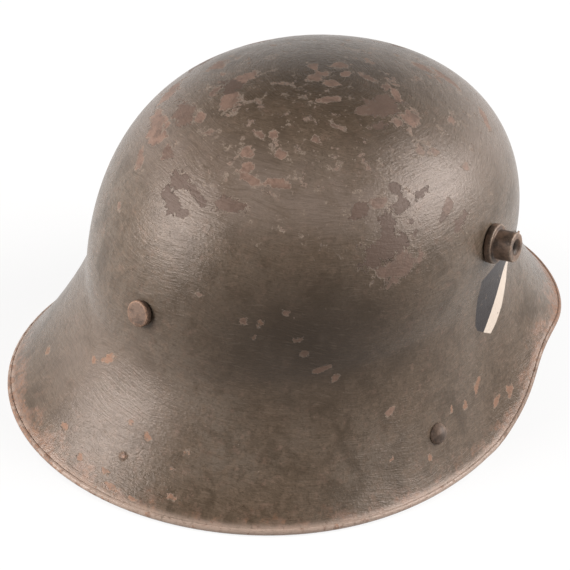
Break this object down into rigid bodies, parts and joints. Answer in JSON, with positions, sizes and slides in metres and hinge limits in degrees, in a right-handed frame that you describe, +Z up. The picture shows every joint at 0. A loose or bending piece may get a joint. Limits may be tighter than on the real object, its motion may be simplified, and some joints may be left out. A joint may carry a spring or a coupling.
{
  "type": "steel helmet",
  "caption": "Pressed steel helmet with a flared neck skirt, short visor, side lugs, padded leather liner and hinged chinstrap.",
  "frame": {"origin": "middle of the footprint, on the table that the rolled edge stands on", "axes": "+Z up, -Y towards the visor, -X towards the wearer's right"},
  "size_m": [0.235, 0.2933, 0.1675],
  "materials": {
    "shell_paint": "worn semi-gloss brown-olive paint over rust",
    "lug_steel": "dark rusty brown",
    "rivet_steel": "rusty paint",
    "inner_steel": "dull zinc",
    "band_leather": "aged saddle leather",
    "pad_leather": "worn calf leather",
    "cushion_cloth": "linen ticking",
    "lace_cord": "twisted cotton",
    "strap_leather": "blackened strap leather",
    "strap_steel": "worn grey steel"
  },
  "bodies": {
    "helmet": {"shell": "shell_paint", "lug_right": "lug_steel", "lug_left": "lug_steel", "lug_ring_right": "inner_steel", "lug_ring_left": "inner_steel", "liner_rivet_rear": "rivet_steel", "liner_rivet_right": "rivet_steel", "liner_rivet_left": "rivet_steel", "rivet_washer_rear": "inner_steel", "rivet_washer_right": "inner_steel", "rivet_washer_left": "inner_steel", "chin_rivet_right": "rivet_steel", "chin_rivet_left": "rivet_steel", "chin_post_right": "inner_steel", "chin_post_left": "inner_steel", "liner_band": "band_leather", "pad_front": "pad_leather", "pad_right": "pad_leather", "pad_left": "pad_leather", "cushion_front": "cushion_cloth", "cushion_right": "cushion_cloth", "cushion_left": "cushion_cloth", "pad_rivets": "inner_steel", "draw_lace": "lace_cord"},
    "strap": {"chinstrap": "strap_leather", "strap_clip_right": "strap_steel", "strap_clip_left": "strap_steel", "strap_rivets_right": "strap_steel", "strap_rivets_left": "strap_steel"},
    "buckle_right": {"strap_buckle_right": "strap_steel"},
    "buckle_left": {"strap_buckle_left": "strap_steel"}
  },
  "joints": [
    {"name": "strap_swing", "type": "hinge", "parent": "helmet", "child": "strap", "pos_m": [0, 0.01277, 0.02326], "axis": [1, 0, 0], "range_deg": [0, 140]},
    {"name": "buckle_right_slide", "type": "slide", "parent": "strap", "child": "buckle_right", "axis": [0, -0.9925, -0.122], "range_m": [-0.004, 0.009]},
    {"name": "buckle_left_slide", "type": "slide", "parent": "strap", "child": "buckle_left", "axis": [0, -0.9925, -0.122], "range_m": [-0.004, 0.009]}
  ]
}
